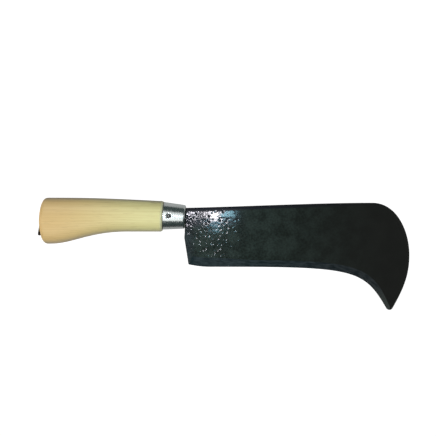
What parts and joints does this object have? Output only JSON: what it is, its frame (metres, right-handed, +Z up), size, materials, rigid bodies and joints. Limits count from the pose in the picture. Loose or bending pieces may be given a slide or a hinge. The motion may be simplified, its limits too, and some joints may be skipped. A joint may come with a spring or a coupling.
{
  "type": "billhook",
  "caption": "Hand billhook: a forged steel blade with a forward hook and a ground cutting edge, its tang clenched through a shaped wooden handle behind a tapered, nailed ferrule.",
  "frame": {"origin": "middle of the tool's footprint on the bench, at the height of its lowest point, the side of the pommel", "axes": "the tool lies on its side: +X along its length from the butt to the nose, +Y across the blade from the cutting edge to the spine, +Z up, square to the blade"},
  "size_m": [0.3992, 0.1208, 0.033],
  "materials": {
    "blade_steel": "glossy black lacquer over forging scale, with a thinner, teal-grey coat on the ground bevel",
    "handle_wood": "pale straight-grained hardwood, sanded, with a thin satin varnish",
    "ferrule_plate": "bright nickel plate",
    "nail_steel": "dark wire nail, its head hammered down into the dimple, which has left the middle of the head bright"
  },
  "bodies": {
    "root": {"blade": "blade_steel", "handle": "handle_wood", "ferrule": "ferrule_plate", "ferrule_nail": "nail_steel"}
  },
  "joints": []
}
